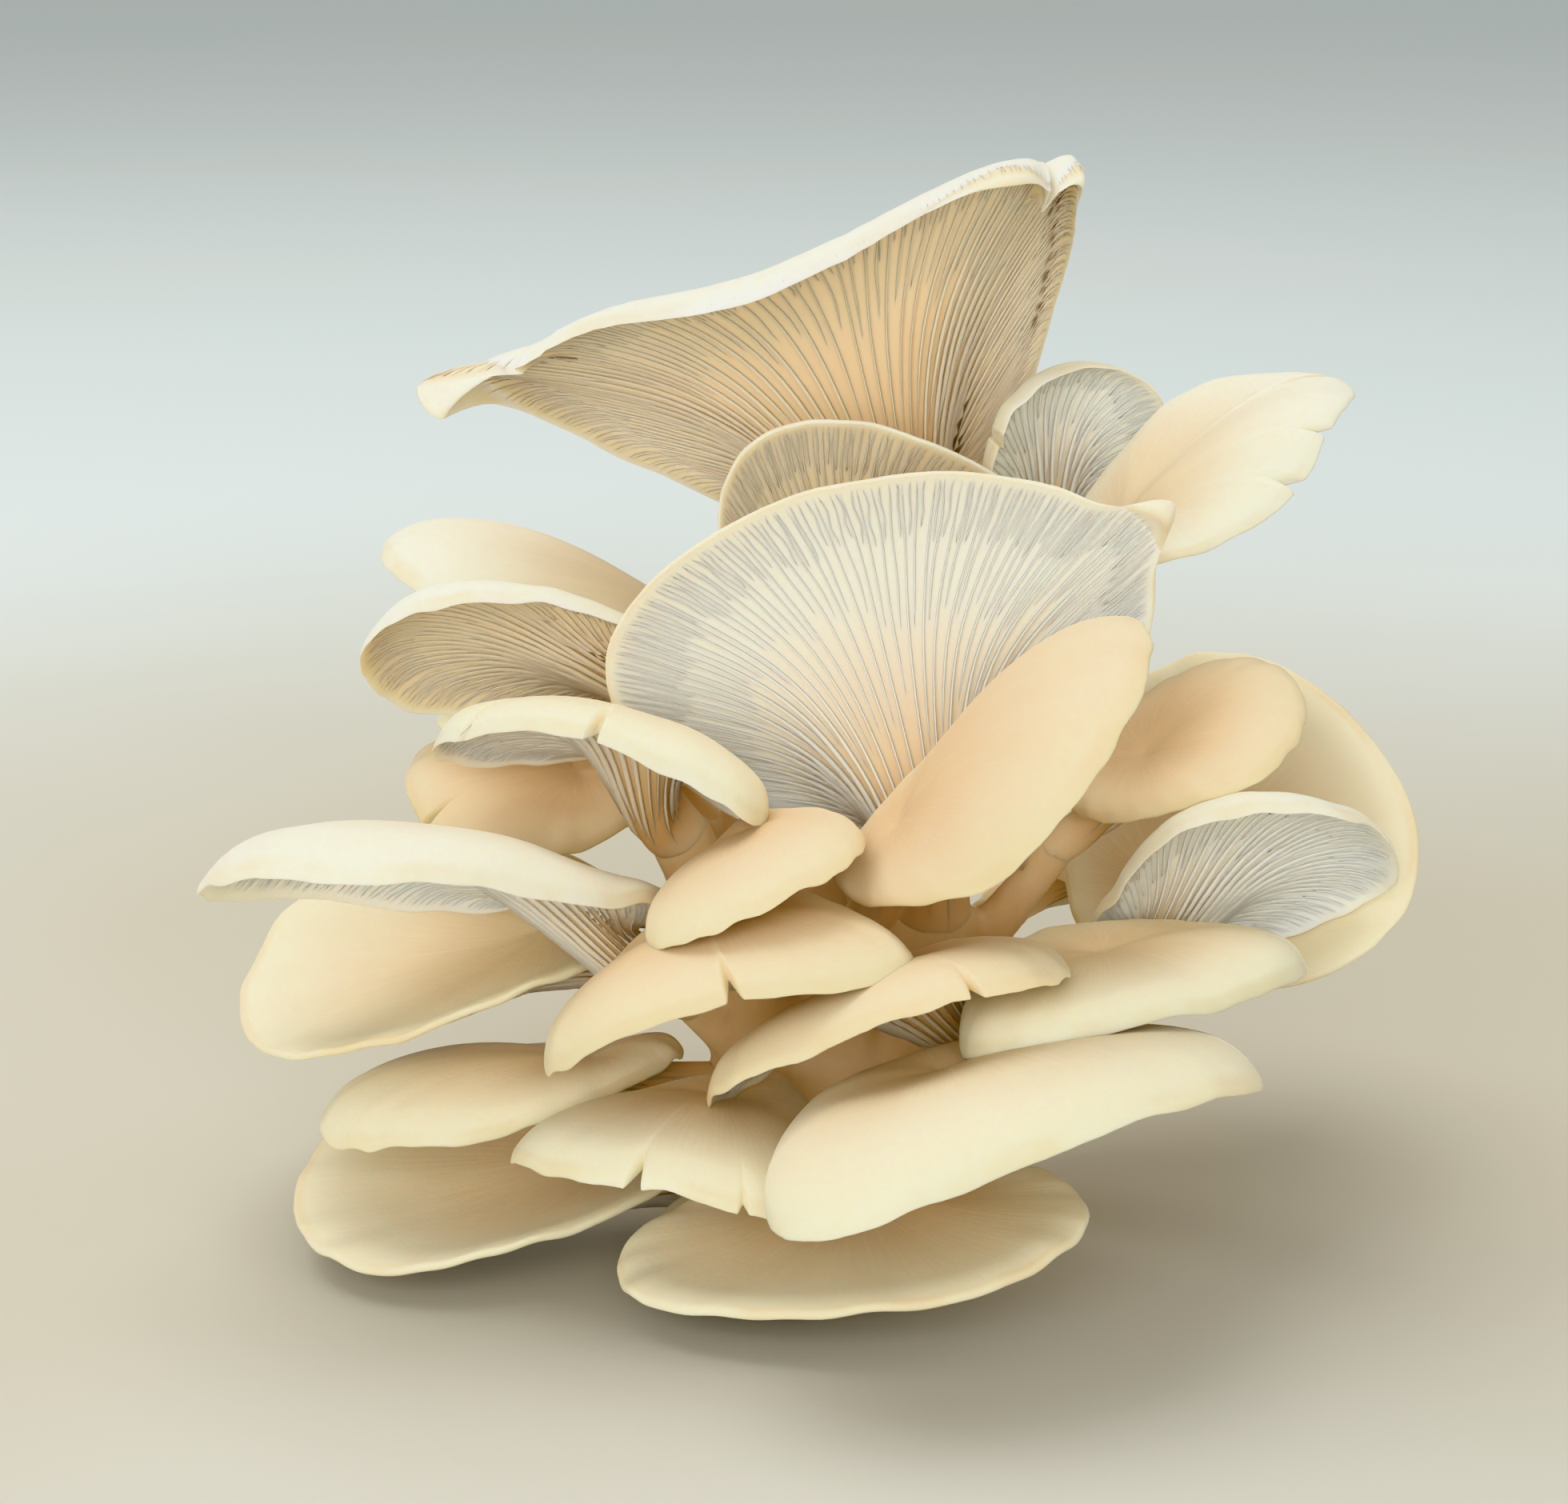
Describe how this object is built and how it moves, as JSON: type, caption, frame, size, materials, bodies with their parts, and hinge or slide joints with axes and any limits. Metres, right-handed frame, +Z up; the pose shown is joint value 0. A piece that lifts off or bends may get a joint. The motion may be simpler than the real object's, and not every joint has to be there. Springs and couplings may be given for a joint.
{
  "type": "oyster mushroom cluster",
  "caption": "Bouquet of fan-shaped oyster mushrooms with gilled undersides, grown from one fused trunk and standing on its flat cut base.",
  "frame": {"origin": "centre of the trunk's flat cut foot", "axes": "+Z up the trunk; -Y towards the front that the caps open to; +X to the right as seen from the front"},
  "size_m": [0.187, 0.1569, 0.1691],
  "materials": {
    "cap_flesh": "soft matte skin, cream to pale tan, with paler gills and rim",
    "stem_flesh": "matte cream stem"
  },
  "bodies": {
    "root": {"crown_fan": "cap_flesh", "crown_under_leaf": "cap_flesh", "centre_fan": "cap_flesh", "upper_right_roll": "cap_flesh", "right_wing": "cap_flesh", "left_high_leaf": "cap_flesh", "left_under_shell": "cap_flesh", "left_mid_hood": "cap_flesh", "left_mid_droop": "cap_flesh", "left_back_pale": "cap_flesh", "left_big_shelf": "cap_flesh", "left_low_dish": "cap_flesh", "left_low_leaf": "cap_flesh", "bottom_left_dish": "cap_flesh", "front_low_leaf": "cap_flesh", "front_hood": "cap_flesh", "centre_leaf": "cap_flesh", "right_tongue": "cap_flesh", "front_tongue": "cap_flesh", "right_shell": "cap_flesh", "right_back_leaf": "cap_flesh", "far_right_dish": "cap_flesh", "far_right_back_leaf": "cap_flesh", "right_low_hood": "cap_flesh", "long_front_wing": "cap_flesh", "bottom_front_dish": "cap_flesh", "bottom_back_lobe": "cap_flesh", "trunk": "stem_flesh"}
  },
  "joints": []
}
